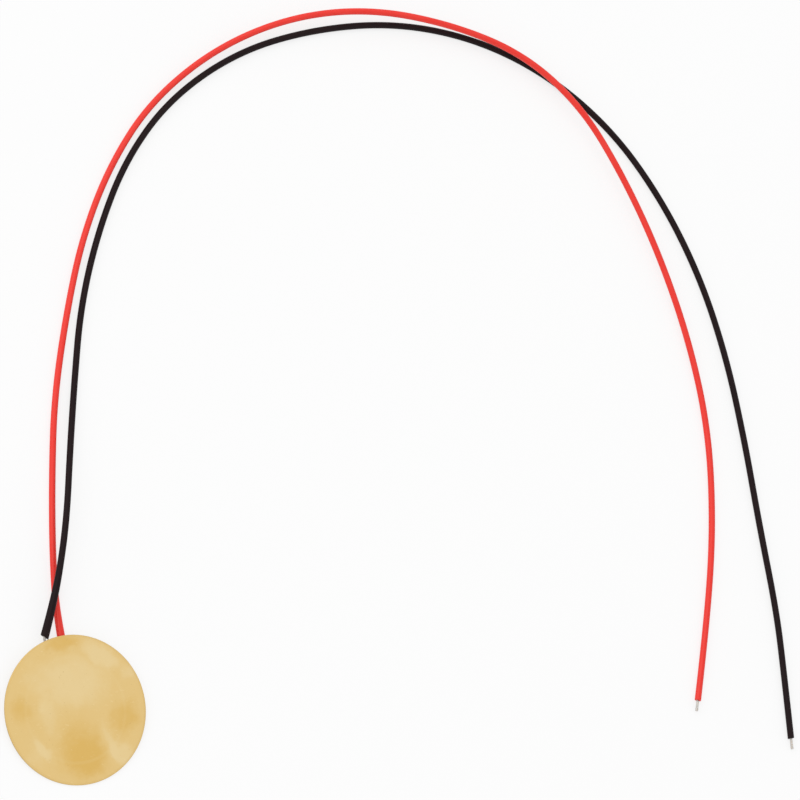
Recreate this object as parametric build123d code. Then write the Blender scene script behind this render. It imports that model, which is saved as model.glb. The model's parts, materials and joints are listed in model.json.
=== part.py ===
from build123d import *

import os
from math import atan2, cos, degrees, pi, radians, sin, tan

# Piezo disc: a thin brass plate with a smaller ceramic disc bonded under it, and a red
# and a black lead soldered to the ceramic's silver face and to the brass margin.
# It lies as it comes to rest on a table, brass side up: the ceramic's far edge and the red
# joint touch the table, so the plate leans a few degrees and its lead side is lifted.
#
# Row frame: +Z up from the table, origin on the table under the plate's centre, and the
# leads run off towards +Y and +X. Lengths are in millimetres, angles in degrees.

# ------------------------------------------------------------------ driving dimensions
plate_diameter = 20.0
plate_thickness = 0.20
plate_edge_radius = 0.03        # the punched edge, slightly rounded on both faces

bond_thickness = 0.02           # cured adhesive between the brass and the ceramic
ceramic_diameter = 14.0
ceramic_thickness = 0.22
inner_electrode_thickness = 0.01
inner_electrode_margin = 0.10   # bare ceramic round the silver on the bonded face
outer_electrode_thickness = 0.015
outer_electrode_margin = 0.60   # bare ceramic round the silver on the open face

red_joint_azimuth = 101.5       # seen from above, counted from +X
red_joint_diameter = 2.4
red_joint_height = 0.90
red_joint_margin = 0.15         # silver left clear outside the red joint
black_joint_azimuth = 117.5
black_joint_height = 0.80
black_joint_margin = 0.45       # brass left clear on either side of the black joint
joint_rest_gap = 0.005          # the red joint's crown just misses the table

skirt_reach = 0.62              # a joint's hollow skirt passes this share of its radius
skirt_drop = 0.42               # at this share of its height,
skirt_slope = 0.35              # and leaves its foot this steeply
solder_film = 0.06              # solder between a conductor and the face above it

lead_diameter = 0.90
conductor_diameter = 0.38
bore_clearance = 0.01           # between the conductor and the insulation around it
bare_tip = 1.5                  # conductor showing past the insulation's free end
bare_exit = 0.30                # conductor showing in line with the insulation's other end

bend_share = 0.45               # each arc of a lead uses this share of the shorter run
exit_bend_share = 0.90          # the conductor's turn at the plate uses most of bare_exit

# ---------------------------------------------------------------------- derived sizes
plate_radius = plate_diameter / 2
ceramic_radius = ceramic_diameter / 2
inner_electrode_radius = ceramic_radius - inner_electrode_margin
outer_electrode_radius = ceramic_radius - outer_electrode_margin
lead_radius = lead_diameter / 2
conductor_radius = conductor_diameter / 2
bore_radius = conductor_radius + bore_clearance

# The red joint sits just inside the silver's edge, the black one midway on the brass margin.
red_joint_reach = outer_electrode_radius - red_joint_margin - red_joint_diameter / 2
black_joint_reach = (plate_radius + ceramic_radius) / 2
black_joint_diameter = plate_radius - ceramic_radius - 2 * black_joint_margin

# Depths below the brass plate's lower face.
ceramic_depth = bond_thickness + inner_electrode_thickness
outer_electrode_depth = ceramic_depth + ceramic_thickness
stack_depth = outer_electrode_depth + outer_electrode_thickness
crown_depth = stack_depth + red_joint_height + joint_rest_gap

# The plate leans over the red joint until the first of these far edges meets the table.
far_edges = [
    (plate_radius, 0),
    (ceramic_radius, outer_electrode_depth),
    (outer_electrode_radius, stack_depth),
]
rest_tilt = min(
    atan2(crown_depth - depth, radius + red_joint_reach) for radius, depth in far_edges
)
plate_centre_height = max(
    radius * sin(rest_tilt) + (plate_thickness / 2 + depth) * cos(rest_tilt)
    for radius, depth in far_edges
)

# ------------------------------------------------------------------------------ routes
# The centre of each lead, from the end of its insulation at the plate to its free end.
# Both lie on the table apart from two long low humps: the black lead passes over the
# red one beside the plate, and the red lead passes over the black one at the far side.
on_table = lead_radius

red_route = [
    (-1.4, 7.2, on_table),
    (-2.7, 12.9, on_table),
    (-3.3, 21.1, on_table),
    (-3.5, 31.1, on_table),
    (-3.3, 42.1, on_table),
    (-1.7, 53.9, on_table),
    (0.5, 64.7, on_table),
    (4.4, 75.1, on_table),
    (10.1, 84.4, 0.60),
    (19.1, 92.6, 1.10),
    (29.9, 98.1, 1.75),
    (41.5, 100.4, 2.25),
    (53.7, 99.5, 2.25),
    (64.8, 96.3, 2.25),
    (73.4, 89.7, 2.25),
    (79.6, 80.8, 2.00),
    (85.4, 70.4, 1.30),
    (90.3, 58.3, 0.70),
    (93.3, 45.9, on_table),
    (93.9, 32.9, on_table),
    (93.0, 19.9, on_table),
    (91.3, 7.4, on_table),
]

black_route = [
    (-4.6, 9.4, 1.30),
    (-3.9, 12.9, 1.95),
    (-2.9, 18.5, 2.40),
    (-1.9, 25.8, 2.05),
    (-1.2, 34.9, 1.05),
    (-0.5, 44.0, on_table),
    (0.3, 54.9, on_table),
    (2.7, 65.6, on_table),
    (6.6, 76.0, on_table),
    (12.9, 85.1, on_table),
    (22.5, 92.6, on_table),
    (33.5, 97.0, on_table),
    (45.7, 99.3, on_table),
    (57.7, 98.4, on_table),
    (68.7, 94.5, on_table),
    (78.8, 87.4, on_table),
    (86.4, 78.1, on_table),
    (92.2, 67.6, on_table),
    (96.2, 56.3, on_table),
    (98.9, 44.5, on_table),
    (101.0, 32.9, on_table),
    (103.5, 20.8, on_table),
    (104.6, 11.6, on_table),
    (105.5, 3.0, on_table),
]


# ------------------------------------------------------------------ the plate's own frame
def plate_frame():
    """Plane at the plate's centre: local X runs up the lean, local Z out of the brass."""
    heading = radians(red_joint_azimuth)
    uphill = (
        cos(heading) * cos(rest_tilt),
        sin(heading) * cos(rest_tilt),
        sin(rest_tilt),
    )
    outward = (
        -cos(heading) * sin(rest_tilt),
        -sin(heading) * sin(rest_tilt),
        cos(rest_tilt),
    )
    return Plane(origin=(0, 0, plate_centre_height), x_dir=uphill, z_dir=outward)


def below_plate(depth):
    """Local height of a face that lies this deep below the brass plate's lower face."""
    return -plate_thickness / 2 - depth


def joint_place(reach, azimuth, depth):
    """Local point on the underside, at a distance and a heading from the plate's centre."""
    turned = radians(azimuth - red_joint_azimuth)
    return Vector(reach * cos(turned), reach * sin(turned), below_plate(depth))


# ----------------------------------------------------------------------------- the stack
def make_plate():
    """Punched brass disc, both edges slightly rounded."""
    plate = Cylinder(plate_radius, plate_thickness)
    return fillet(plate.edges().filter_by(GeomType.CIRCLE), plate_edge_radius)


def make_layer(radius, thickness, depth):
    """Flat round layer whose upper face lies at a depth below the plate's lower face."""
    layer = Cylinder(radius, thickness, align=(Align.CENTER, Align.CENTER, Align.MAX))
    return Pos(0, 0, below_plate(depth)) * layer


# ----------------------------------------------------------------------------- the leads
def run_lengths(points):
    """Length of each straight run between neighbouring points."""
    return [(end - start).length for start, end in zip(points, points[1:])]


def turn_angles(points):
    """Angle that the path turns at each inner point, in degrees."""
    triples = zip(points, points[1:], points[2:])
    return [(here - before).get_angle(after - here) for before, here, after in triples]


def bend_radii(points):
    """Radius at each inner point: as large as the two runs beside it allow."""
    runs = run_lengths(points)
    shorter = [min(pair) for pair in zip(runs, runs[1:])]
    turns = turn_angles(points)
    return [bend_share * run / tan(radians(turn) / 2) for run, turn in zip(shorter, turns)]


def sweep_along(section, points, radii):
    """Sweep a flat section along straight runs joined by tangent arcs."""
    path = FilletPolyline(*points, radius=radii)
    start = Plane(origin=path @ 0, z_dir=path % 0)
    return sweep(start * section, path=path), path.length


def make_insulation(points):
    """Hollow sleeve of the lead, over the whole of its route."""
    section = Circle(lead_radius) - Circle(bore_radius)
    return sweep_along(section, points, bend_radii(points))


def make_conductor(points, soldered_end):
    """Conductor inside the sleeve: it ends bare at the free end and in the joint."""
    first_run = (points[1] - points[0]).normalized()
    last_run = (points[-1] - points[-2]).normalized()
    turning_point = points[0] - first_run * bare_exit
    tip = points[-1] + last_run * bare_tip
    bare_run = turning_point - soldered_end
    turn = radians(bare_run.get_angle(first_run))
    exit_radius = exit_bend_share * bare_exit / tan(turn / 2)
    path_points = [soldered_end, turning_point] + points[1:-1] + [tip]
    section = Circle(conductor_radius)
    return sweep_along(section, path_points, [exit_radius] + bend_radii(points))


# ---------------------------------------------------------------------- the solder joints
def make_joint(place, diameter, height, conductor):
    """Solder cone with a hollow skirt and a round crown, wetted around the conductor."""
    foot = (diameter / 2, 0)
    skirt = (skirt_reach * diameter / 2, -skirt_drop * height)
    crown = (0, -height)
    slope_at_foot = (-1, -skirt_slope)
    level = (-1, 0)
    with BuildPart() as joint:
        with BuildSketch(Plane.XZ):
            with BuildLine():
                Line((0, 0), foot)
                Spline(foot, skirt, crown, tangents=(slope_at_foot, level))
                Line(crown, (0, 0))
            make_face()
        revolve(axis=Axis.Z)
    return plate_frame().location * (Pos(place) * joint.part) - conductor


def conductor_end(place):
    """Point inside a joint where the conductor ends, in the row frame."""
    below_face = place - Vector(0, 0, solder_film + conductor_radius)
    return plate_frame().from_local_coords(below_face)


# ----------------------------------------------------------------------------- assembly
def build_leads(route, joint_point):
    """Insulation and conductor of one lead, with a printed note of its bends."""
    points = [Vector(*point) for point in route]
    insulation, insulation_length = make_insulation(points)
    conductor, conductor_length = make_conductor(points, conductor_end(joint_point))
    section = pi * (lead_radius**2 - bore_radius**2)
    print("radii", [round(radius, 1) for radius in bend_radii(points)])
    print("runs", [round(run, 1) for run in run_lengths(points)])
    print("turns", [round(turn, 1) for turn in turn_angles(points)])
    print("insulation", round(insulation_length, 2), "conductor", round(conductor_length, 2))
    print("volume over section x length", insulation.volume / (section * insulation_length))
    return insulation, conductor


def build_all():
    """Every node of the part, by name."""
    stack = plate_frame().location
    bond_film = make_layer(ceramic_radius, bond_thickness, 0)
    inner_electrode = make_layer(
        inner_electrode_radius, inner_electrode_thickness, bond_thickness
    )
    ceramic_disc = make_layer(ceramic_radius, ceramic_thickness, ceramic_depth)
    outer_electrode = make_layer(
        outer_electrode_radius, outer_electrode_thickness, outer_electrode_depth
    )

    red_place = joint_place(red_joint_reach, red_joint_azimuth, stack_depth)
    black_place = joint_place(black_joint_reach, black_joint_azimuth, 0)
    red_insulation, red_conductor = build_leads(red_route, red_place)
    black_insulation, black_conductor = build_leads(black_route, black_place)

    return {
        "brass_plate": stack * make_plate(),
        "bond_film": stack * bond_film,
        "inner_electrode": stack * inner_electrode,
        "ceramic_disc": stack * ceramic_disc,
        "outer_electrode": stack * outer_electrode,
        "red_solder_joint": make_joint(
            red_place, red_joint_diameter, red_joint_height, red_conductor
        ),
        "black_solder_joint": make_joint(
            black_place, black_joint_diameter, black_joint_height, black_conductor
        ),
        "red_insulation": red_insulation,
        "red_conductor": red_conductor,
        "black_insulation": black_insulation,
        "black_conductor": black_conductor,
    }


os.makedirs("parts", exist_ok=True)
print("rest tilt", round(degrees(rest_tilt), 3), "plate centre height", plate_centre_height)
for name, solid in build_all().items():
    export_step(solid, "parts/" + name + ".step")
    low, high = solid.bounding_box().min, solid.bounding_box().max
    print(name, "volume", round(solid.volume, 4), "z from", round(low.Z, 4), "to", round(high.Z, 3))
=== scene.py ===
# %% [markdown]
# # A piezo disc, brass side up
#
# A thin brass plate lies on a table. A smaller ceramic disc is bonded under it, and a red and
# a black lead are soldered to the underside and loop away over the table. The solid model is
# the fixed frame: it says where everything is. This script adds what it leaves plain, which
# is the finish of every surface, the strands of the wire, the cut ends of the insulation, the
# glue at the ceramic's rim and the shape of the solder.

# %% Load the fixed frame
import json
import math

import bpy
from mathutils import Matrix, Vector


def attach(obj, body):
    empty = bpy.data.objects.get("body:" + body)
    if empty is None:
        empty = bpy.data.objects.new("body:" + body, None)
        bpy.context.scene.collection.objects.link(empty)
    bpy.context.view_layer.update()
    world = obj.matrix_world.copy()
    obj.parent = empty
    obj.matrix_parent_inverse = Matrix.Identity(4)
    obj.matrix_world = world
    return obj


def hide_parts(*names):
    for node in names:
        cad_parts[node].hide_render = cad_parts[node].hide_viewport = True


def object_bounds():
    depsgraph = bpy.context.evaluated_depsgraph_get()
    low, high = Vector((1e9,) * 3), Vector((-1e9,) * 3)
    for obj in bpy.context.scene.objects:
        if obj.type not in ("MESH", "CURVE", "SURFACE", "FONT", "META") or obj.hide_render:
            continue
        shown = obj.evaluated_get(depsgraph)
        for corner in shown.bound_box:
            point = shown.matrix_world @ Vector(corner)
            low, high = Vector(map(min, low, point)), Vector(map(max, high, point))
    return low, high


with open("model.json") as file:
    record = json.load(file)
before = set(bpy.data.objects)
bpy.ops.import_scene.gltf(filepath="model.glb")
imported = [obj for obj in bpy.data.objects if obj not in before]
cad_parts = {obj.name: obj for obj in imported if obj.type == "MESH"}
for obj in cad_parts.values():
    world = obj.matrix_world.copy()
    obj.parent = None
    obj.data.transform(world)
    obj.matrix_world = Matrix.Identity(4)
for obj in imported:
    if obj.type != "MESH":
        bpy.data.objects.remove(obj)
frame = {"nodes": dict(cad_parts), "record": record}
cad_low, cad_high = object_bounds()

mm = 0.001
scene = bpy.context.scene


def in_mm(place):
    """A place in metres as rounded millimetres, to print."""
    return [round(value / mm, 2) for value in place]


print("solid model from", in_mm(cad_low), "to", in_mm(cad_high))

# %% [markdown]
# ## The camera
#
# Something this flat is best seen from a little way off, looking down with a long lens, so
# that the plate keeps its shape. A camera has no up of its own: its matrix is built here from
# three directions, right, up and back, which is plainer than tuning three angles by eye.

# %% Camera
camera_sensor = 36              # its width and the lens are in Blender's own unit
camera_lens = 300
camera_distance = 910.96 * mm
camera_lean = math.radians(25.690)
camera_azimuth = math.radians(209.457)
camera_target = Vector((46.972, 46.138, 0)) * mm

back = Vector((
    math.sin(camera_lean) * math.cos(camera_azimuth),
    math.sin(camera_lean) * math.sin(camera_azimuth),
    math.cos(camera_lean),
))
right = Vector((0, 1, 0)).cross(back).normalized()
up = back.cross(right)

camera = bpy.data.objects.new("camera", bpy.data.cameras.new("camera"))
camera.data.lens = camera_lens
camera.data.sensor_width = camera_sensor
camera.data.clip_start = 0.05
camera.data.clip_end = 20
camera.matrix_world = Matrix.Translation(camera_target + back * camera_distance) @ Matrix(
    (right, up, back)
).transposed().to_4x4()
scene.collection.objects.link(camera)
scene.camera = camera
print("camera at", in_mm(camera.matrix_world.translation))

# %% [markdown]
# ## The routes of the two leads
#
# A thin lead keeps the loops that it was packed in. Its line is a NURBS curve: each point
# pulls the curve towards it without the curve having to pass through it, which gives the
# soft, never quite round bends of real wire. The points are in millimetres, from the end of
# the insulation at the plate to the free end. Where one lead crosses the other it rises over
# it in a long low hump.

# %% Routes
lead_diameter = 0.90
on_table = lead_diameter / 2

red_route = [
    (-1.4, 7.2, on_table),
    (-2.7, 12.9, on_table),
    (-3.3, 21.1, on_table),
    (-3.5, 31.1, on_table),
    (-3.3, 42.1, on_table),
    (-1.7, 53.9, on_table),
    (0.5, 64.7, on_table),
    (4.4, 75.1, on_table),
    (10.1, 84.4, 0.60),
    (19.1, 92.6, 1.10),
    (29.9, 98.1, 1.75),
    (41.5, 100.4, 2.25),
    (53.7, 99.5, 2.25),
    (64.8, 96.3, 2.25),
    (73.4, 89.7, 2.25),
    (79.6, 80.8, 2.00),
    (85.4, 70.4, 1.30),
    (90.3, 58.3, 0.70),
    (93.3, 45.9, on_table),
    (93.9, 32.9, on_table),
    (93.0, 19.9, on_table),
    (91.3, 7.4, on_table),
]

black_route = [
    (-4.6, 9.4, 1.30),
    (-3.9, 12.9, 1.95),
    (-2.9, 18.5, 2.40),
    (-1.9, 25.8, 2.05),
    (-1.2, 34.9, 1.05),
    (-0.5, 44.0, on_table),
    (0.3, 54.9, on_table),
    (2.7, 65.6, on_table),
    (6.6, 76.0, on_table),
    (12.9, 85.1, on_table),
    (22.5, 92.6, on_table),
    (33.5, 97.0, on_table),
    (45.7, 99.3, on_table),
    (57.7, 98.4, on_table),
    (68.7, 94.5, on_table),
    (78.8, 87.4, on_table),
    (86.4, 78.1, on_table),
    (92.2, 67.6, on_table),
    (96.2, 56.3, on_table),
    (98.9, 44.5, on_table),
    (101.0, 32.9, on_table),
    (103.5, 20.8, on_table),
    (104.6, 11.6, on_table),
    (105.5, 3.0, on_table),
]


def smooth_line(points_mm):
    """Points along the NURBS curve that these route points pull into shape, in metres."""
    curve = bpy.data.curves.new("route", "CURVE")
    curve.dimensions = "3D"
    curve.resolution_u = 24
    spline = curve.splines.new("NURBS")
    spline.points.add(len(points_mm) - 1)
    for point, place in zip(spline.points, points_mm):
        point.co = (*(Vector(place) * mm), 1)
    spline.order_u = 3
    spline.use_endpoint_u = True
    holder = bpy.data.objects.new("route", curve)
    scene.collection.objects.link(holder)
    mesh = bpy.data.meshes.new_from_object(holder)
    line = [vertex.co.copy() for vertex in mesh.vertices]
    bpy.data.objects.remove(holder)
    bpy.data.meshes.remove(mesh)
    return line


def line_length(line):
    """Length of a line of points, in metres."""
    return sum((end - start).length for start, end in zip(line, line[1:]))


red_line = smooth_line(red_route)
black_line = smooth_line(black_route)
print("red lead", round(line_length(red_line) / mm, 1), "mm in", len(red_line), "points")
print("black lead", round(line_length(black_line) / mm, 1), "mm in", len(black_line), "points")

# %% [markdown]
# ## The plate's own frame
#
# The plate doesn't lie flat: it leans on the red solder joint beneath it. The record of the
# solid model names the brass face and its direction, so the plate's frame is read from there:
# local X runs up the lean, local Z points out of the brass, and the origin is the middle of
# the brass face. Round pieces are then drawn in this frame and carried over.

# %% Plate frame and sizes
face = next(mount for mount in frame["record"]["mounts"] if mount["name"] == "brass_face")
outward = Vector(face["axis"]).normalized()
uphill = (Vector((0, 0, 1)) - outward * outward.z).normalized()
across = outward.cross(uphill)
plate_frame = Matrix.Translation(Vector(face["pos_m"])) @ Matrix(
    (uphill, across, outward)
).transposed().to_4x4()
uphill_heading = math.atan2(uphill.y, uphill.x)

plate_radius = 10.0
plate_thickness = 0.20
ceramic_radius = 7.0
electrode_radius = 6.4
ceramic_top = -plate_thickness - 0.03
ceramic_bottom = ceramic_top - 0.22
electrode_bottom = ceramic_bottom - 0.015

red_joint_reach = 5.05
red_joint_heading = math.radians(101.5)
red_joint_radius = 1.2
red_joint_height = 0.90
black_joint_reach = 8.5
black_joint_heading = math.radians(117.5)
black_joint_radius = 1.05
black_joint_height = 0.80
print("plate leans", round(math.degrees(outward.angle(Vector((0, 0, 1)))), 2), "degrees")


def local_point(reach, heading, height):
    """A point in the plate's frame, in millimetres, at a distance and heading from its centre."""
    turned = heading - uphill_heading
    return Vector((reach * math.cos(turned), reach * math.sin(turned), height))


def placed(point_mm):
    """From the plate's frame, in millimetres, to the row's frame, in metres."""
    return plate_frame @ (point_mm * mm)


# %% [markdown]
# ## Small helpers for node trees
#
# Every finish below is a short tree of shader nodes. Writing `tree.nodes.new` and
# `tree.links.new` out each time hides what the tree does, so one helper makes a node, sets
# it up and links whatever it is given. Most trees start from the object's own coordinates,
# scaled to millimetres so that the sizes in them read as real sizes.

# %% Node helpers
def add_node(tree, kind, inputs=None, **settings):
    """Make a node, set it up, and link or fill its inputs by name or by number."""
    made = tree.nodes.new(kind)
    for key, value in settings.items():
        setattr(made, key, value)
    for key, value in (inputs or {}).items():
        if isinstance(value, bpy.types.NodeSocket):
            tree.links.new(value, made.inputs[key])
        else:
            made.inputs[key].default_value = value
    return made


def new_finish(name, metallic, roughness):
    """A new material with its tree and its shader, and the plain values set on the shader."""
    material = bpy.data.materials.new(name)
    material.use_nodes = True
    shader = material.node_tree.nodes["Principled BSDF"]
    shader.inputs["Metallic"].default_value = metallic
    shader.inputs["Roughness"].default_value = roughness
    return material, material.node_tree, shader


def millimetres(tree):
    """The object's own coordinates, in millimetres."""
    place = add_node(tree, "ShaderNodeTexCoord").outputs["Object"]
    scaled = add_node(tree, "ShaderNodeVectorMath", {0: place, "Scale": 1 / mm}, operation="SCALE")
    return scaled.outputs[0]


def noise(tree, place, scale, detail=3.0, roughness=0.5):
    """Cloudy noise between 0 and 1; scale is how many clouds to a millimetre."""
    made = add_node(tree, "ShaderNodeTexNoise", {
        "Vector": place, "Scale": scale, "Detail": detail, "Roughness": roughness,
    })
    return made.outputs["Fac"]


def stretched(tree, place, factors):
    """Coordinates stretched by a factor along each axis."""
    made = add_node(tree, "ShaderNodeVectorMath", {0: place, 1: factors}, operation="MULTIPLY")
    return made.outputs[0]


def remap(tree, value, low, high, to_low=0.0, to_high=1.0):
    """Spread the values between low and high over a new range, smoothly and clamped."""
    made = add_node(tree, "ShaderNodeMapRange", {
        "Value": value, "From Min": low, "From Max": high, "To Min": to_low, "To Max": to_high,
    }, interpolation_type="SMOOTHSTEP")
    return made.outputs["Result"]


def math_node(tree, operation, first, second):
    """One sum, product or comparison of two values."""
    return add_node(tree, "ShaderNodeMath", {0: first, 1: second}, operation=operation).outputs[0]


def blend(tree, amount, first, second):
    """Mix two colours by an amount between 0 and 1."""
    made = add_node(tree, "ShaderNodeMix", data_type="RGBA")
    for key, value in {"Factor": amount, "A": first, "B": second}.items():
        socket = next(s for s in made.inputs if s.name == key and s.enabled)
        if isinstance(value, bpy.types.NodeSocket):
            tree.links.new(value, socket)
        elif key == "Factor":
            socket.default_value = value
        else:
            socket.default_value = (*value, 1)
    return next(s for s in made.outputs if s.enabled)


def set_bump(tree, shader, height, strength, depth_mm, beneath=None):
    """Bump from a height between 0 and 1 that stands for a depth in millimetres."""
    inputs = {"Height": height, "Strength": strength, "Distance": depth_mm * mm}
    if beneath is not None:
        inputs["Normal"] = beneath
    made = add_node(tree, "ShaderNodeBump", inputs)
    tree.links.new(made.outputs[0], shader.inputs["Normal"])
    return made.outputs[0]


print("node helpers are ready, sizes in millimetres")

# %% [markdown]
# ## Brass
#
# The plate is rolled brass sheet, punched out and handled. Its face is satin, with a cloudy
# tone of its own and large soft patches, paler and warmer than the rest, that are painted
# reflections of the surroundings. A faint pale ring over the ceramic's rim is a painted highlight
# on the ridge there, and the face darkens towards its edge as painted shade along the rim. Small
# pale specks are where it was wiped. Clouds from noise alone would scatter evenly, so the large
# soft patches are placed one by one and noise only frays them. The fine lines of the rolling
# mill run one way and go into the bump and the roughness.

# %% Brass finish
# The paler and warmer colours below serve the painted reflections and the pale ring's painted highlight;
# the rim colour serves the painted shade along the edge.
pale_reflection_brass = (0.765, 0.590, 0.300)
plain_brass = (0.738, 0.532, 0.226)
dim_reflection_brass = (0.690, 0.452, 0.136)
rim_shade_brass = (0.60, 0.40, 0.13)
scuffed_brass = (0.84, 0.67, 0.38)
pitted_brass = (0.52, 0.33, 0.12)

# Painted reflections, one patch each. Centre and size in millimetres, turn in degrees, and strength: above
# 0 paler, below 0 warmer.
reflection_patches = [
    ((-0.8, 3.6), (6.8, 4.6), 8, 0.88),
    ((3.3, 7.7), (3.6, 1.5), -28, 0.95),
    ((7.6, 5.6), (1.6, 1.6), 0, 0.60),
    ((-6.8, 4.6), (1.8, 2.8), -30, 0.20),
    ((-2.2, 8.7), (3.0, 1.5), 10, -0.75),
    ((6.9, -0.6), (2.6, 3.0), 0, -0.68),
    ((-7.5, -0.6), (2.2, 2.6), 10, -0.58),
    ((1.0, -5.0), (4.6, 5.4), 0, -0.65),
    ((2.2, -6.4), (3.4, 3.0), 0, -0.48),
    ((7.0, -5.4), (2.2, 2.2), 40, 0.82),
    ((4.9, -3.4), (0.9, 3.0), 24, 0.70),
    ((-4.3, -5.7), (0.8, 2.6), 48, 0.60),
    ((-5.4, -6.2), (2.6, 2.6), -35, 0.42),
    ((-3.8, -1.6), (1.8, 3.2), 22, 0.55),
]


def soft_patch(tree, place, centre, size, turn):
    """1 in the middle of a soft oval patch and 0 outside it."""
    moved = add_node(tree, "ShaderNodeMapping", {
        "Vector": place,
        "Location": (*centre, 0),
        "Rotation": (0, 0, math.radians(turn)),
        "Scale": (*size, 1000),
    }, vector_type="TEXTURE")
    distance = add_node(tree, "ShaderNodeVectorMath", {0: moved.outputs[0]}, operation="LENGTH")
    return remap(tree, distance.outputs["Value"], 1.2, 0.25)


def flat_distance(tree, place):
    """Distance from the vertical through the plate's centre, in millimetres."""
    flat = stretched(tree, place, (1, 1, 0))
    made = add_node(tree, "ShaderNodeVectorMath", {0: flat}, operation="LENGTH")
    return made.outputs["Value"]


def frayed(tree, place, scale, reach_mm):
    """Coordinates pushed about by noise, so that soft edges come out ragged."""
    cloud = add_node(tree, "ShaderNodeTexNoise", {"Vector": place, "Scale": scale, "Detail": 3.0})
    centred = add_node(
        tree, "ShaderNodeVectorMath", {0: cloud.outputs["Color"], 1: (0.5, 0.5, 0.5)},
        operation="SUBTRACT",
    )
    pushed = add_node(
        tree, "ShaderNodeVectorMath", {0: centred.outputs[0], "Scale": 2 * reach_mm},
        operation="SCALE",
    )
    made = add_node(tree, "ShaderNodeVectorMath", {0: place, 1: pushed.outputs[0]}, operation="ADD")
    return made.outputs[0]


def make_brass():
    """Satin rolled brass with painted reflection patches, a painted highlight ring, painted shade at the
    rim, specks and rolling lines.
    """
    material, tree, shader = new_finish("rolled_brass", 1.0, 0.4)
    place = millimetres(tree)
    ragged = frayed(tree, place, 0.6, 1.0)

    tone = math_node(tree, "MULTIPLY", noise(tree, place, 0.55, 5.0, 0.6), 0.7)
    tone = math_node(tree, "SUBTRACT", tone, 0.35)
    # The placed patches, paler and warmer than the rest, are painted reflections of the surroundings.
    for centre, size, turn, strength in reflection_patches:
        patch = soft_patch(tree, ragged, centre, size, turn)
        tone = math_node(tree, "ADD", tone, math_node(tree, "MULTIPLY", patch, strength))
    cooler = blend(tree, remap(tree, tone, 0.0, 1.0), plain_brass, pale_reflection_brass)
    colour = blend(tree, remap(tree, tone, 0.0, -1.0), cooler, dim_reflection_brass)

    radius = flat_distance(tree, place)
    # A faint pale ring over the ceramic's rim: painted highlight on the ridge there.
    ring = math_node(tree, "MULTIPLY", remap(tree, radius, 6.7, 7.0), remap(tree, radius, 7.4, 7.05))
    colour = blend(tree, math_node(tree, "MULTIPLY", ring, 0.14), colour, pale_reflection_brass)
    # The face darkens towards its outer edge: painted shade along the rim.
    rim = remap(tree, radius, 9.55, 9.98)
    colour = blend(tree, math_node(tree, "MULTIPLY", rim, 0.35), colour, rim_shade_brass)

    wiped = stretched(tree, frayed(tree, place, 0.8, 0.3), (1.0, 2.6, 1.0))
    specks = remap(tree, noise(tree, wiped, 1.6, 2.0), 0.66, 0.76)
    colour = blend(tree, math_node(tree, "MULTIPLY", specks, 0.35), colour, scuffed_brass)
    pits = remap(tree, noise(tree, place, 3.4, 1.0), 0.72, 0.80)
    colour = blend(tree, math_node(tree, "MULTIPLY", pits, 0.30), colour, pitted_brass)
    tree.links.new(colour, shader.inputs["Base Color"])

    rolled = noise(tree, stretched(tree, place, (0.5, 22.0, 0.5)), 1.0, 4.0, 0.65)
    dull = math_node(tree, "ADD", math_node(tree, "MULTIPLY", rolled, 0.12), 0.32)
    dull = math_node(tree, "ADD", dull, math_node(tree, "MULTIPLY", noise(tree, place, 0.7), 0.10))
    tree.links.new(dull, shader.inputs["Roughness"])
    lines = set_bump(tree, shader, rolled, 0.5, 0.004)
    set_bump(tree, shader, noise(tree, place, 9.0, 3.0), 0.35, 0.004, lines)
    return material


rolled_brass = make_brass()
print("brass has", len(reflection_patches), "placed patches and", len(rolled_brass.node_tree.nodes), "nodes")

# %% [markdown]
# The punch leaves another finish on the plate's edge. The upper part is burnished where the
# sheet was sheared and the rest is torn and duller, all with marks that run straight across
# the thickness. The marks follow the direction round the rim, so the pattern is drawn on
# coordinates that are stretched along it.

# %% Punched edge finish
def make_punched_edge():
    """Darker, rougher brass with fine marks across the thickness."""
    material, tree, shader = new_finish("punched_brass_edge", 1.0, 0.45)
    place = millimetres(tree)
    marks = noise(tree, stretched(tree, place, (9.0, 9.0, 0.6)), 1.0, 3.0, 0.6)
    colour = blend(tree, marks, (0.50, 0.33, 0.11), (0.74, 0.54, 0.25))
    tree.links.new(colour, shader.inputs["Base Color"])
    dull = math_node(tree, "ADD", math_node(tree, "MULTIPLY", marks, 0.25), 0.32)
    tree.links.new(dull, shader.inputs["Roughness"])
    set_bump(tree, shader, marks, 0.7, 0.01)
    return material


punched_brass = make_punched_edge()
print("edge finish:", punched_brass.name)

# %% [markdown]
# ## Silver, ceramic, glue and solder
#
# The underside is where the work is. The ceramic is a plain, fine-grained, warm grey plate.
# Its electrode is silver paste printed through a fine mesh and fired on: pale and matt, with
# the mesh just to be seen, and browner near the joint, where flux has spread. Solder sets
# with a bright skin that turns grainy in places, and the glue is clear amber epoxy.

# %% Underside finishes
def make_ceramic():
    """Matt, unglazed grey-beige ceramic with a fine grain."""
    material, tree, shader = new_finish("piezo_ceramic", 0.0, 0.62)
    place = millimetres(tree)
    cloud = noise(tree, place, 0.6, 4.0)
    grain = noise(tree, place, 14.0, 2.0)
    colour = blend(tree, cloud, (0.47, 0.42, 0.33), (0.56, 0.51, 0.42))
    colour = blend(tree, remap(tree, grain, 0.62, 0.75), colour, (0.36, 0.31, 0.24))
    tree.links.new(colour, shader.inputs["Base Color"])
    set_bump(tree, shader, grain, 0.5, 0.006)
    return material


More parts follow.
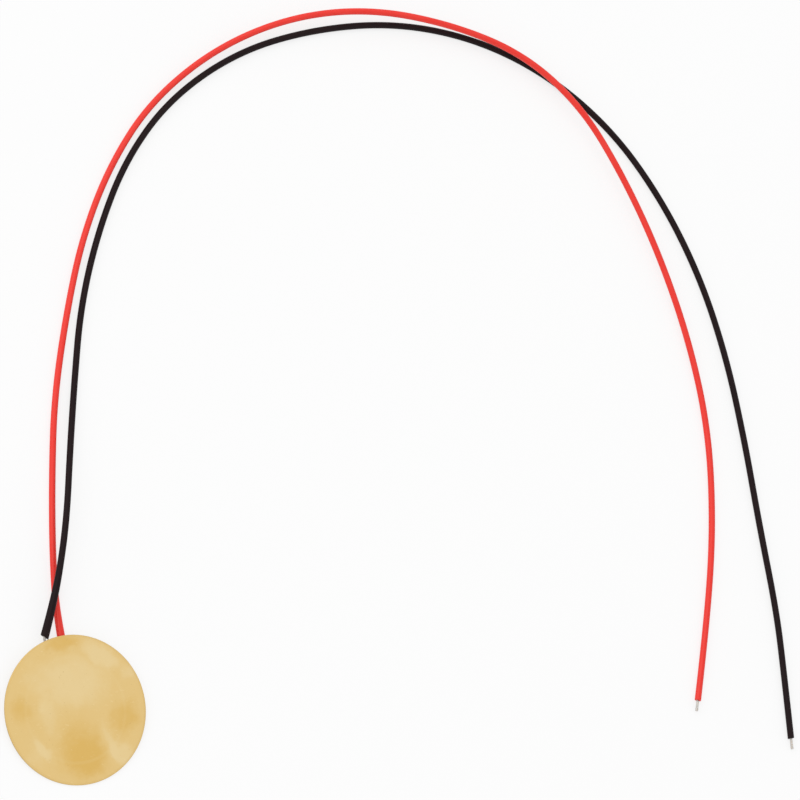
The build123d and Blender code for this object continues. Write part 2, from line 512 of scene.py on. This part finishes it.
def make_fired_silver():
    """Matt printed silver: the print mesh, a cloudy tone, and flux round the joint."""
    material, tree, shader = new_finish("fired_silver_paste", 1.0, 0.5)
    place = millimetres(tree)
    cloud = noise(tree, place, 0.5, 5.0, 0.6)
    colour = blend(tree, remap(tree, cloud, 0.3, 0.7), (0.70, 0.69, 0.66), (0.84, 0.83, 0.80))
    joint = placed(local_point(red_joint_reach, red_joint_heading, electrode_bottom)) / mm
    flux = soft_patch(tree, frayed(tree, place, 0.9, 0.6), (joint.x, joint.y), (2.3, 2.1), 0)
    colour = blend(tree, math_node(tree, "MULTIPLY", flux, 0.55), colour, (0.55, 0.42, 0.24))
    tree.links.new(colour, shader.inputs["Base Color"])
    mesh_x = add_node(tree, "ShaderNodeTexWave", {"Vector": place, "Scale": 1.6}, bands_direction="X")
    mesh_y = add_node(tree, "ShaderNodeTexWave", {"Vector": place, "Scale": 1.6}, bands_direction="Y")
    printed = math_node(tree, "MULTIPLY", mesh_x.outputs["Fac"], mesh_y.outputs["Fac"])
    dull = math_node(tree, "ADD", math_node(tree, "MULTIPLY", cloud, 0.25), 0.38)
    tree.links.new(dull, shader.inputs["Roughness"])
    weave = set_bump(tree, shader, printed, 0.35, 0.004)
    set_bump(tree, shader, noise(tree, place, 12.0, 3.0), 0.5, 0.005, weave)
    return material


def make_solder():
    """Bright solder, dull and grainy in patches."""
    material, tree, shader = new_finish("solder", 1.0, 0.3)
    place = millimetres(tree)
    patches = noise(tree, place, 1.8, 4.0, 0.6)
    colour = blend(tree, remap(tree, patches, 0.35, 0.65), (0.80, 0.80, 0.81), (0.62, 0.61, 0.60))
    tree.links.new(colour, shader.inputs["Base Color"])
    tree.links.new(remap(tree, patches, 0.35, 0.7, 0.16, 0.46), shader.inputs["Roughness"])
    set_bump(tree, shader, noise(tree, place, 8.0, 4.0), 0.35, 0.012)
    return material


def make_glue():
    """Clear amber epoxy, a little cloudy, glossy where it has run out."""
    material, tree, shader = new_finish("cured_epoxy", 0.0, 0.22)
    place = millimetres(tree)
    cloud = noise(tree, place, 1.5, 3.0)
    colour = blend(tree, cloud, (0.42, 0.30, 0.13), (0.58, 0.46, 0.26))
    tree.links.new(colour, shader.inputs["Base Color"])
    set_bump(tree, shader, noise(tree, place, 3.0, 2.0), 0.3, 0.01)
    return material


piezo_ceramic = make_ceramic()
fired_silver = make_fired_silver()
solder = make_solder()
cured_epoxy = make_glue()
print("underside finishes:", [m.name for m in (piezo_ceramic, fired_silver, solder, cured_epoxy)])

# %% [markdown]
# ## Insulation and wire
#
# The leads are soft PVC, extruded, so any unevenness runs along them. A pattern on the
# object's coordinates would cut across the bends. Each sleeve therefore carries an attribute
# that says where every point would be if the lead were pulled straight, and the finish reads
# that. The copper strands are tinned: pale grey, with a trace of copper in the streaks.

# %% Lead finishes
def make_pvc(name, colour, faded, roughness, sheen):
    """Extruded PVC: long faint streaks, a cloudy tone and a soft sheen."""
    material, tree, shader = new_finish(name, 0.0, roughness)
    shader.inputs["Specular IOR Level"].default_value = sheen
    place = add_node(tree, "ShaderNodeAttribute", attribute_name="pulled_straight_mm").outputs["Vector"]
    streak = noise(tree, stretched(tree, place, (6.0, 6.0, 0.12)), 1.0, 3.0)
    cloud = noise(tree, stretched(tree, place, (1.0, 1.0, 0.35)), 1.0, 4.0)
    tone = math_node(tree, "MULTIPLY", math_node(tree, "ADD", streak, cloud), 0.5)
    tone = remap(tree, tone, 0.38, 0.66)
    tree.links.new(blend(tree, tone, colour, faded), shader.inputs["Base Color"])
    dull = remap(tree, cloud, 0.3, 0.7, roughness - 0.07, roughness + 0.09)
    tree.links.new(dull, shader.inputs["Roughness"])
    grain = noise(tree, place, 16.0, 2.0)
    lines = set_bump(tree, shader, streak, 0.5, 0.012)
    set_bump(tree, shader, grain, 0.3, 0.006, lines)
    return material


def make_tinned_copper():
    """Tinned strand with streaks of thinner tin."""
    material, tree, shader = new_finish("tinned_copper", 1.0, 0.34)
    place = millimetres(tree)
    thin = remap(tree, noise(tree, place, 5.0, 3.0), 0.52, 0.70)
    colour = blend(tree, thin, (0.52, 0.50, 0.47), (0.56, 0.40, 0.29))
    tree.links.new(colour, shader.inputs["Base Color"])
    set_bump(tree, shader, noise(tree, place, 20.0, 2.0), 0.3, 0.005)
    return material


red_pvc = make_pvc("red_pvc", (0.85, 0.027, 0.015), (0.89, 0.040, 0.026), 0.42, 0.4)
black_pvc = make_pvc("black_pvc", (0.0110, 0.0050, 0.0058), (0.0165, 0.0085, 0.0095), 0.46, 0.1)
tinned_copper = make_tinned_copper()
print("lead finishes:", red_pvc.name, black_pvc.name, tinned_copper.name)

# %% [markdown]
# ## Turned shapes
#
# The plate, the ceramic, the silver, the glue and the solder are all round. A lathe makes
# such a shape from half of its outline: the outline is turned about the plate's centre, one
# copy of it every few degrees, and neighbouring copies are joined with faces. Points on the
# axis become one vertex, so that the shape is closed there. Each outline goes from the top
# of the axis round the outside to the bottom, which makes every face look outwards.

# %% Lathe
def lathe(name, outline, segments, finishes, shape=None, finish_of=None):
    """Turn an outline of (radius, height) in mm round the plate's axis, as a new object."""
    vertices, faces, slots = [], [], []
    rings = []
    for radius, height in outline:
        if radius == 0:
            rings.append([len(vertices)] * segments)
            vertices.append(Vector((0, 0, height)))
            continue
        rings.append(list(range(len(vertices), len(vertices) + segments)))
        for step in range(segments):
            angle = 2 * math.pi * step / segments
            r, h = shape(radius, angle, height) if shape else (radius, height)
            vertices.append(Vector((r * math.cos(angle), r * math.sin(angle), h)))
    closed = outline[0][0] > 0
    pairs = list(zip(rings, rings[1:] + rings[:1])) if closed else list(zip(rings, rings[1:]))
    for number, (upper, lower) in enumerate(pairs):
        for step in range(segments):
            after = (step + 1) % segments
            corners = [upper[step], lower[step], lower[after], upper[after]]
            corners = [c for i, c in enumerate(corners) if c not in corners[:i]]
            faces.append(corners)
            slots.append(finish_of(number) if finish_of else 0)
    return finished_piece(name, [placed(v) for v in vertices], faces, finishes, slots)


def finished_piece(name, vertices, faces, finishes, slots=None):
    """A mesh object at the origin, smooth-shaded, with its finishes."""
    mesh = bpy.data.meshes.new(name)
    mesh.from_pydata([tuple(v) for v in vertices], [], faces)
    for finish in finishes:
        mesh.materials.append(finish)
    mesh.polygons.foreach_set("use_smooth", [True] * len(faces))
    if slots:
        mesh.polygons.foreach_set("material_index", slots)
    mesh.update()
    piece = bpy.data.objects.new(name, mesh)
    scene.collection.objects.link(piece)
    return piece


print("the lathe is ready")

# %% [markdown]
# ## The brass plate
#
# Sheet this thin is never quite flat, and the glue pulls the ceramic's outline through it as
# a ridge a few thousandths of a millimetre high. The grid of rings gives the face enough
# points to carry both. The upper edge is drawn in round by the punch, and the lower edge
# keeps a fine burr.

# %% Brass plate
plate_segments = 240
face_rings = 40
back_rings = 10
rollover = 0.05
burr = 0.008
ridge_height = 0.0020
ridge_width = 0.35
flat_border = 1.5


def plate_outline():
    """Half of the plate's section, from the middle of the brass face to that of the back."""
    flat = plate_radius - rollover
    upper = [(0, 0)] + [(flat * step / face_rings, 0) for step in range(1, face_rings + 1)]
    edge = [
        (flat + rollover * math.sin(math.radians(turn)), rollover * (math.cos(math.radians(turn)) - 1))
        for turn in (22.5, 45, 67.5, 90)
    ]
    low = -plate_thickness
    edge += [(plate_radius, 0.7 * low), (plate_radius - 0.005, low - 0.3 * burr)]
    lower = [(plate_radius - 0.02, low - burr), (plate_radius - 0.05, low)]
    lower += [(plate_radius * step / back_rings, low) for step in range(back_rings - 1, 0, -1)]
    return upper + edge + lower + [(0, low)], len(upper), len(upper) + len(edge)


def wavy_sheet(radius, angle, height):
    """Raise the brass face by a few thousandths: slow waves, and a ridge over the ceramic's rim."""
    if height < 0:
        return radius, height
    x, y = radius * math.cos(angle), radius * math.sin(angle)
    waves = 0.0022 * math.sin(0.55 * x + 0.8) * math.cos(0.41 * y - 0.5)
    waves += 0.0012 * math.sin(1.1 * x - 0.9 * y + 2.0)
    ridge = ridge_height * math.exp(-(((radius - ceramic_radius) / ridge_width) ** 2))
    settle = min(1.0, (plate_radius - radius) / flat_border)
    return radius, height + (waves + ridge) * settle


outline, edge_from, edge_to = plate_outline()
brass_sheet = lathe(
    "brass_sheet", outline, plate_segments, [rolled_brass, punched_brass],
    shape=wavy_sheet,
    finish_of=lambda ring: 1 if edge_from <= ring < edge_to else 0,
)
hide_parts("brass_plate")
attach(brass_sheet, "root")
print("brass sheet", len(brass_sheet.data.polygons), "faces")

# %% [markdown]
# ## Under the plate
#
# The ceramic's lower rim is nibbled by handling, and the printed silver ends in a slightly
# uneven line short of it. Glue has crept out round the ceramic and stands in the corner
# against the brass as a small hollow bead. Irregular edges are sums of a few sine waves of
# unrelated lengths, which never line up but stay the same on every run.

# %% Ceramic, silver and glue
bite_depth = 0.02
print_shrink = 0.03
round_segments = 240


def uneven(angle, waves):
    """Sum of sine waves round the rim, each given as (size, count, phase)."""
    return sum(size * math.sin(count * angle + phase) for size, count, phase in waves)


def nibbled(radius, angle, height):
    """Take small bites out of the ceramic's lower rim."""
    if radius < ceramic_radius - 0.05 or height > ceramic_bottom + 0.05:
        return radius, height
    bites = uneven(angle, [(0.4, 41, 0.3), (0.35, 67, 1.9), (0.25, 113, 4.0)])
    return radius - bite_depth * max(0.0, bites) ** 2, height


ceramic_outline = [
    (0, ceramic_top), (3.5, ceramic_top), (6.9, ceramic_top),
    (ceramic_radius, ceramic_top), (ceramic_radius, ceramic_bottom + 0.03),
    (ceramic_radius - 0.004, ceramic_bottom + 0.01), (ceramic_radius - 0.02, ceramic_bottom),
    (6.5, ceramic_bottom), (3.5, ceramic_bottom), (0, ceramic_bottom),
]
ceramic_plate = lathe("ceramic_plate", ceramic_outline, 360, [piezo_ceramic], shape=nibbled)


def printed_edge(radius, angle, height):
    """Let the edge of the printed silver wander a little."""
    if radius < electrode_radius - 0.2:
        return radius, height
    wander = uneven(angle, [(0.014, 5, 0.4), (0.010, 17, 2.2), (0.006, 59, 1.0)])
    return radius + wander - print_shrink, height


silver_outline = [
    (0, ceramic_bottom), (3.0, ceramic_bottom), (electrode_radius, ceramic_bottom),
    (electrode_radius - 0.004, electrode_bottom + 0.005), (electrode_radius - 0.02, electrode_bottom),
    (5.5, electrode_bottom), (3.0, electrode_bottom), (0, electrode_bottom),
]
silver_print = lathe("silver_print", silver_outline, round_segments, [fired_silver], shape=printed_edge)


def crept_out(radius, angle, height):
    """Let the bead of glue be wider in some places than in others."""
    if radius <= ceramic_radius:
        return radius, height
    wider = 1 + uneven(angle, [(0.22, 3, 1.1), (0.16, 7, 0.2), (0.10, 19, 3.0)])
    return ceramic_radius + (radius - ceramic_radius) * wider, height


glue_outline = [
    (ceramic_radius, -plate_thickness), (ceramic_radius + 0.15, -plate_thickness),
    (ceramic_radius + 0.07, -plate_thickness - 0.025), (ceramic_radius + 0.025, -plate_thickness - 0.07),
    (ceramic_radius, -plate_thickness - 0.13),
]
glue_bead = lathe("glue_bead", glue_outline, round_segments, [cured_epoxy], shape=crept_out)

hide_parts("ceramic_disc")
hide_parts("outer_electrode")
for piece, slot in ((ceramic_plate, "ceramic"), (silver_print, "fired_silver"), (glue_bead, "adhesive")):
    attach(piece, "root")
    print(piece.name, len(piece.data.polygons), "faces")

# The film of glue and the inner silver are shut in between brass and ceramic: the solid
# model's own shapes are right for them, and they only get their finish.
for node, finish in (("bond_film", cured_epoxy), ("inner_electrode", fired_silver)):
    kept = frame["nodes"][node]
    kept.data.materials.clear()
    kept.data.materials.append(finish)

# %% [markdown]
# ## The bare ends of the wire
#
# At the plate each conductor comes out of its insulation and bends up into its solder joint;
# at the other end it stands straight out of the cut. The bend is a cubic curve from the
# joint to the insulation that starts and ends in the right directions, and the route's own
# points carry on from there.

# %% Conductor lines
conductor_radius = 0.19
solder_film = 0.06
bare_exit = 0.30
bare_tip = 1.5
bend_steps = 12
bend_towards = 0.55


def solder_point(reach, heading, face_height):
    """Where a conductor ends inside its joint, in metres."""
    return placed(local_point(reach, heading, face_height - solder_film - conductor_radius))


def conductor_line(joint_end, line):
    """The whole of a conductor: the bend at the joint, the insulated length and the bare tip."""
    entry = (line[1] - line[0]).normalized()
    last = (line[-1] - line[-2]).normalized()
    turning = line[0] - entry * bare_exit * mm
    towards = joint_end.lerp(turning, bend_towards)
    bend = []
    for step in range(bend_steps):
        t = step / bend_steps
        bend.append(
            joint_end * (1 - t) ** 3 + towards * 3 * t * (1 - t) ** 2
            + turning * 3 * t * t * (1 - t) + line[0] * t**3
        )
    tip = [line[-1] + last * bare_tip * mm * share for share in (0.2, 0.4, 0.6, 0.8, 1.0)]
    return bend + line + tip


red_end = solder_point(red_joint_reach, red_joint_heading, electrode_bottom)
black_end = solder_point(black_joint_reach, black_joint_heading, -plate_thickness)
red_wire = conductor_line(red_end, red_line)
black_wire = conductor_line(black_end, black_line)
for wire in (red_wire, black_wire):
    print("conductor", round(line_length(wire) / mm, 1), "mm long")

# %% [markdown]
# ## Seven twisted strands
#
# A thin flexible lead holds six strands twisted round a seventh. Geometry Nodes are made for
# this: the tree takes the line of the conductor, makes six copies of it, pushes every point
# of each copy sideways from the line by an angle that grows with the distance along it, and
# sweeps a small circle along all seven. At the bare tip the middle strand swells, because
# there the grooves are filled with solder. The result is baked to a plain mesh.

# %% Strand tree
outer_strands = 6
strand_radius = conductor_radius / 3
lay_length = 7.0
tinned_swell = 2.55


def strand_values(line):
    """What the strand tree needs to know about one conductor."""
    return {
        "Material": tinned_copper,
        "Strand Radius": strand_radius * mm,
        "Lay Length": lay_length * mm,
        "Tinned From": line_length(line) - bare_tip * mm,
        "Tinned Swell": tinned_swell,
    }


def strand_tree():
    """Geometry nodes that twist six copies of a line round itself and give all seven a body."""
    tree = bpy.data.node_groups.new("twisted_strands", "GeometryNodeTree")
    tree.interface.new_socket("Geometry", in_out="INPUT", socket_type="NodeSocketGeometry")
    tree.interface.new_socket("Material", in_out="INPUT", socket_type="NodeSocketMaterial")
    for name in ("Strand Radius", "Lay Length", "Tinned From", "Tinned Swell"):
        tree.interface.new_socket(name, in_out="INPUT", socket_type="NodeSocketFloat")
    tree.interface.new_socket("Geometry", in_out="OUTPUT", socket_type="NodeSocketGeometry")
    given = add_node(tree, "NodeGroupInput").outputs
    line = add_node(tree, "GeometryNodeMeshToCurve", {"Mesh": given["Geometry"]}).outputs[0]
    along = add_node(tree, "GeometryNodeSplineParameter").outputs["Length"]

    copies = add_node(
        tree, "GeometryNodeDuplicateElements", {"Geometry": line, "Amount": outer_strands}, domain="SPLINE"
    )
    turns = math_node(tree, "DIVIDE", along, given["Lay Length"])
    share = math_node(tree, "DIVIDE", copies.outputs["Duplicate Index"], outer_strands)
    angle = math_node(tree, "MULTIPLY", math_node(tree, "ADD", turns, share), 2 * math.pi)
    tangent = add_node(tree, "GeometryNodeInputTangent").outputs[0]
    normal = add_node(tree, "GeometryNodeInputNormal").outputs["Normal"]
    turned = add_node(tree, "ShaderNodeVectorRotate", {"Vector": normal, "Axis": tangent, "Angle": angle})
    reach = math_node(tree, "MULTIPLY", given["Strand Radius"], 2.0)
    offset = add_node(
        tree, "ShaderNodeVectorMath", {0: turned.outputs[0], "Scale": reach}, operation="SCALE"
    )
    outer = add_node(tree, "GeometryNodeSetPosition", {
        "Geometry": copies.outputs["Geometry"], "Offset": offset.outputs[0],
    })

    swell_end = math_node(tree, "ADD", given["Tinned From"], 0.15 * mm)
    swell = add_node(tree, "ShaderNodeMapRange", {
        "Value": along, "From Min": given["Tinned From"], "From Max": swell_end,
        "To Min": 1.0, "To Max": given["Tinned Swell"],
    })
    middle = add_node(tree, "GeometryNodeSetCurveRadius", {"Curve": line, "Radius": swell.outputs[0]})
    thin = add_node(tree, "GeometryNodeSetCurveRadius", {"Curve": outer.outputs[0], "Radius": 1.0})
    every = add_node(tree, "GeometryNodeJoinGeometry")
    tree.links.new(middle.outputs[0], every.inputs[0])
    tree.links.new(thin.outputs[0], every.inputs[0])

    section = add_node(tree, "GeometryNodeCurvePrimitiveCircle", {
        "Resolution": 8, "Radius": given["Strand Radius"],
    })
    swept = add_node(tree, "GeometryNodeCurveToMesh", {
        "Curve": every.outputs[0], "Profile Curve": section.outputs[0], "Fill Caps": True,
    })
    radius = add_node(tree, "GeometryNodeInputRadius").outputs[0]
    tree.links.new(radius, swept.inputs["Scale"])
    smooth = add_node(tree, "GeometryNodeSetShadeSmooth", {"Geometry": swept.outputs[0]})
    whole = add_node(tree, "GeometryNodeRealizeInstances", {"Geometry": smooth.outputs[0]})
    painted = add_node(tree, "GeometryNodeSetMaterial", {
        "Geometry": whole.outputs[0], "Material": given["Material"],
    })
    add_node(tree, "NodeGroupOutput", {"Geometry": painted.outputs[0]})
    return tree


twisted_strands = strand_tree()
print("strand tree has", len(twisted_strands.nodes), "nodes")


def make_strands(name, line):
    """Bake the strand tree along a line to a plain mesh object."""
    mesh = bpy.data.meshes.new(name)
    mesh.from_pydata([tuple(p) for p in line], [(i, i + 1) for i in range(len(line) - 1)], [])
    piece = bpy.data.objects.new(name, mesh)
    scene.collection.objects.link(piece)
    modifier = piece.modifiers.new("strands", "NODES")
    modifier.node_group = twisted_strands
    values = strand_values(line)
    for item in twisted_strands.interface.items_tree:
        if item.in_out == "INPUT" and item.name in values:
            modifier[item.identifier] = values[item.name]
    evaluated = piece.evaluated_get(bpy.context.evaluated_depsgraph_get())
    baked = bpy.data.meshes.new_from_object(evaluated)
    piece.modifiers.remove(modifier)
    piece.data = baked
    baked.name = name
    return piece


red_strands = make_strands("red_strands", red_wire)
black_strands = make_strands("black_strands", black_wire)
print("strands:", len(red_strands.data.polygons), "and", len(black_strands.data.polygons), "faces")

# %% [markdown]
# ## The insulation
#
# A sleeve is an outer wall, an inner wall and two cut ends. Rings of points are set square
# to the line; each ring takes its sideways direction from the one before, so the sleeve
# doesn't twist. A stripping tool leaves the edge a little rounded and never quite square,
# so the last rings are drawn in and slanted. The bore is open, and the strands fill it. Near
# the plate the heat of soldering has softened the PVC, and it has spread sideways: there the
# sleeve is up to a third wider than it is high, which fades out along the lead.

# %% Sleeves
bore_radius = 0.20
sleeve_sides = 28
cut_edge = 0.035
slant_reach = 1.6
heat_spread = 0.32
heat_reach = 10.0
unevenness = 0.004


def with_cut_rings(line):
    """Add rings close to both ends, so that the cut edges can be rounded."""
    first = (line[1] - line[0]).normalized()
    last = (line[-1] - line[-2]).normalized()
    near = [line[0] + first * cut_edge * mm * share for share in (0.4, 1.0, 3.0)]
    far = [line[-1] - last * cut_edge * mm * share for share in (3.0, 1.0, 0.4)]
    return [line[0]] + near + line[1:-1] + far + [line[-1]]


def ring_frames(line):
    """For each point of the line: the direction along it and two across it, without twist."""
    frames = []
    side = None
    for number, point in enumerate(line):
        before = line[max(number - 1, 0)]
        after = line[min(number + 1, len(line) - 1)]
        along = (after - before).normalized()
        side = along.cross(Vector((0, 0, 1))) if side is None else side - along * side.dot(along)
        side.normalize()
        frames.append((along, side, side.cross(along)))
    return frames


def make_sleeve(name, line, finish, slant_at_plate, slant_at_tip):
    """Hollow insulation along a line, with slightly rounded and slanted cut ends."""
    centres = with_cut_rings(line)
    frames = ring_frames(centres)
    total = line_length(centres) / mm
    vertices, straight, walls = [], [], []
    for wall in ("outer", "inner"):
        rings, distance = [], 0.0
        for number, (centre, (along, side, top)) in enumerate(zip(centres, frames)):
            if number:
                distance += (centre - centres[number - 1]).length / mm
            to_end = min(distance, total - distance)
            rounded = cut_edge - math.sqrt(max(0.0, cut_edge**2 - max(0.0, cut_edge - to_end) ** 2))
            swell = unevenness * (math.sin(distance / 5.3) + math.sin(distance / 2.1 + 1.0) - 2)
            radius = lead_diameter / 2 * (1 + swell) - rounded
            widened = 1 + heat_spread * max(0.0, 1 - distance / heat_reach)
            if wall == "inner":
                radius = bore_radius + 0.3 * rounded
                widened = 1
            slant = slant_at_plate * max(0.0, 1 - distance / slant_reach) ** 2
            slant += slant_at_tip * max(0.0, 1 - (total - distance) / slant_reach) ** 2
            rings.append(range(len(vertices), len(vertices) + sleeve_sides))
            for step in range(sleeve_sides):
                turn = 2 * math.pi * step / sleeve_sides
                across = radius * widened * math.cos(turn)
                height = radius * math.sin(turn)
                shift = along * slant * across
                vertices.append(centre + (side * across + top * height + shift) * mm)
                straight.append((across, height, distance))
        walls.append(rings)
    outer, inner = walls
    loop = list(outer) + list(reversed(inner)) + [outer[0]]
    faces = []
    for first, second in zip(loop, loop[1:]):
        for step in range(sleeve_sides):
            after = (step + 1) % sleeve_sides
            faces.append((first[step], second[step], second[after], first[after]))
    piece = finished_piece(name, vertices, faces, [finish])
    attribute = piece.data.attributes.new("pulled_straight_mm", "FLOAT_VECTOR", "POINT")
    attribute.data.foreach_set("vector", [value for place in straight for value in place])
    return piece, centres


red_sleeve, red_centres = make_sleeve("red_sleeve", red_line, red_pvc, 0.10, -0.08)
black_sleeve, black_centres = make_sleeve("black_sleeve", black_line, black_pvc, -0.30, 0.10)
print("sleeves:", len(red_sleeve.data.polygons), "and", len(black_sleeve.data.polygons), "faces")

# %% [markdown]
# A lead is soft. Its sleeve and strands take the place of the solid model's insulation and
# conductor, and hang from the same root as the plate.

for sleeve, strands, centres, colour in (
    (red_sleeve, red_strands, red_centres, "red"),
    (black_sleeve, black_strands, black_centres, "black"),
):
    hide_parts(colour + "_insulation")
    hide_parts(colour + "_conductor")
    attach(sleeve, "root")
    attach(strands, "root")
    print(colour, "lead declared,", round(line_length(centres) / mm, 1), "mm of insulation")

# %% [markdown]
# ## The solder joints
#
# Solder wets the face, so its foot runs out thin and hollow, while its top is round. A
# turned outline gives that shape; then the surface is pushed out wherever the wire lies
# just beneath it, so that the solder flows along the wire before it lets it go.

# %% Solder joints
joint_segments = 72
joint_rings = 22
wet_radius = conductor_radius + 0.05
tail_swell = 0.16
tail_width = 0.30
tail_reach = 1.14
tail_fade = 0.35


def make_joint(name, reach, heading, face_height, foot, height, wire):
    """Solder round one conductor's end, drawn in the plate's frame about the joint's centre."""
    centre = local_point(reach, heading, face_height)
    to_local = plate_frame.inverted()
    start, further = (to_local @ wire[0]) / mm, (to_local @ wire[2 * bend_steps // 3]) / mm
    run = (further - start).normalized()
    wire_heading = math.atan2(run.y, run.x)
    depth_at_start = face_height - start.z
    vertices, faces = [], []
    for ring in range(1, joint_rings + 1):
        share = ring / joint_rings
        for step in range(joint_segments):
            turn = 2 * math.pi * step / joint_segments
            off = math.remainder(turn - wire_heading, 2 * math.pi)
            spread = 1 + uneven(turn, [(0.03, 2, 0.6), (0.02, 3, 2.0)]) - 0.04
            spread += tail_swell * math.exp(-((off / tail_width) ** 2))
            radius = foot * share * spread
            x, y = radius * math.cos(turn), radius * math.sin(turn)
            depth = height * (1 - share) ** 1.5 * (1 + 1.5 * share)
            ahead = x * math.cos(wire_heading) + y * math.sin(wire_heading)
            beside = -x * math.sin(wire_heading) + y * math.cos(wire_heading)
            if ahead > 0 and abs(beside) < wet_radius:
                fade = max(0.0, min(1.0, (tail_reach * foot - ahead) / (tail_fade * foot)))
                wire_depth = depth_at_start - ahead * run.z / math.hypot(run.x, run.y)
                wetted = (wire_depth + math.sqrt(wet_radius**2 - beside**2)) * fade
                depth = max(depth, wetted)
            vertices.append(placed(centre + Vector((x, y, -depth))))
    for ring in range(joint_rings - 1):
        inner, outer = ring * joint_segments, (ring + 1) * joint_segments
        for step in range(joint_segments):
            after = (step + 1) % joint_segments
            faces.append((inner + step, inner + after, outer + after, outer + step))
    crown = len(vertices)
    vertices.append(placed(centre + Vector((0, 0, -height))))
    foot_middle = len(vertices)
    vertices.append(placed(centre))
    last = (joint_rings - 1) * joint_segments
    for step in range(joint_segments):
        after = (step + 1) % joint_segments
        faces.append((crown, after, step))
        faces.append((foot_middle, last + step, last + after))
    return finished_piece(name, vertices, faces, [solder])


red_joint = make_joint(
    "red_joint", red_joint_reach, red_joint_heading, electrode_bottom,
    red_joint_radius, red_joint_height, red_wire,
)
black_joint = make_joint(
    "black_joint", black_joint_reach, black_joint_heading, -plate_thickness,
    black_joint_radius, black_joint_height, black_wire,
)
for joint, node in ((red_joint, "red_solder_joint"), (black_joint, "black_solder_joint")):
    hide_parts(node)
    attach(joint, "root")
    print(joint.name, len(joint.data.polygons), "faces")

# %% [markdown]
# ## Table
#
# The object is shown on plain white. The table is a real surface that catches the shadow,
# but part of what the camera sees of it is plain white light, which keeps the shadow faint.
# From below the table is clear, so that the underside can be looked at as it lies.

# %% Table
table_size = 3.0
table_glow = 0.75


def seen_plainly(tree):
    """1 where the camera or a reflection looks, 0 where light is gathered."""
    ray = add_node(tree, "ShaderNodeLightPath").outputs
    plain = math_node(tree, "MAXIMUM", ray["Is Camera Ray"], ray["Is Glossy Ray"])
    return math_node(tree, "MAXIMUM", plain, ray["Is Transmission Ray"])


def make_table_finish():
    """White table that keeps a faint shadow, and is clear when it is looked at from below."""
    material = bpy.data.materials.new("white_table")
    material.use_nodes = True
    tree = material.node_tree
    tree.nodes.clear()
    board = add_node(tree, "ShaderNodeBsdfDiffuse", {"Color": (0.97, 0.97, 0.97, 1)})
    plain = add_node(tree, "ShaderNodeEmission", {"Color": (1, 1, 1, 1), "Strength": 1.0})
    share = math_node(tree, "MULTIPLY", seen_plainly(tree), table_glow)
    both = add_node(tree, "ShaderNodeMixShader", {0: share, 1: board.outputs[0], 2: plain.outputs[0]})
    below = add_node(tree, "ShaderNodeNewGeometry").outputs["Backfacing"]
    clear = add_node(tree, "ShaderNodeBsdfTransparent")
    sided = add_node(tree, "ShaderNodeMixShader", {0: below, 1: both.outputs[0], 2: clear.outputs[0]})
    add_node(tree, "ShaderNodeOutputMaterial", {"Surface": sided.outputs[0]})
    return material


table_mesh = bpy.data.meshes.new("table")
half = table_size / 2
corners = [(-half, -half, 0), (half, -half, 0), (half, half, 0), (-half, half, 0)]
table_mesh.from_pydata(corners, [], [(0, 1, 2, 3)])
table_mesh.materials.append(make_table_finish())
table = bpy.data.objects.new("table", table_mesh)
table.location.z = -0.01 * mm
scene.collection.objects.link(table)
print("table", table_size, "m wide")

# %% [markdown]
# ## Light
#
# The world lights everything softly and evenly; seen by the camera or in a reflection it is
# plain white, so that the brass mirrors the same white that surrounds it. One large lamp
# gives the leads a lit side.

# %% Light
world_level = 0.75
lamp_direction = (-0.55, 0.45, 0.75)
lamp_distance = 1.3
lamp_size = 1.5
lamp_power = 6.5


def light_world(ambient):
    """A soft world that looks white to the camera and in reflections."""
    world = bpy.data.worlds.new("studio")
    world.use_nodes = True
    tree = world.node_tree
    tree.nodes.clear()
    level = add_node(tree, "ShaderNodeMapRange", {
        "Value": seen_plainly(tree), "To Min": ambient, "To Max": 1.0,
    })
    sky = add_node(tree, "ShaderNodeBackground", {"Color": (1, 1, 1, 1), "Strength": level.outputs[0]})
    add_node(tree, "ShaderNodeOutputWorld", {"Surface": sky.outputs[0]})
    scene.world = world


def hang_lamp(name, direction, distance, size, power):
    """A large square lamp that looks at the middle of the object."""
    middle = (cad_low + cad_high) / 2
    lamp = bpy.data.objects.new(name, bpy.data.lights.new(name, "AREA"))
    lamp.data.size = size
    lamp.data.energy = power
    towards = Vector(direction).normalized()
    lamp.matrix_world = Matrix.Translation(middle + towards * distance) @ towards.to_track_quat(
        "Z", "Y"
    ).to_matrix().to_4x4()
    scene.collection.objects.link(lamp)


light_world(world_level)
hang_lamp("key_lamp", lamp_direction, lamp_distance, lamp_size, lamp_power)
scene.view_settings.view_transform = "Standard"
print("world at", world_level, "and one lamp of", lamp_power, "W")

# %% [markdown]
# ## Last update
#
# The scene is brought up to date.

# %% Update the scene
bpy.context.view_layer.update()
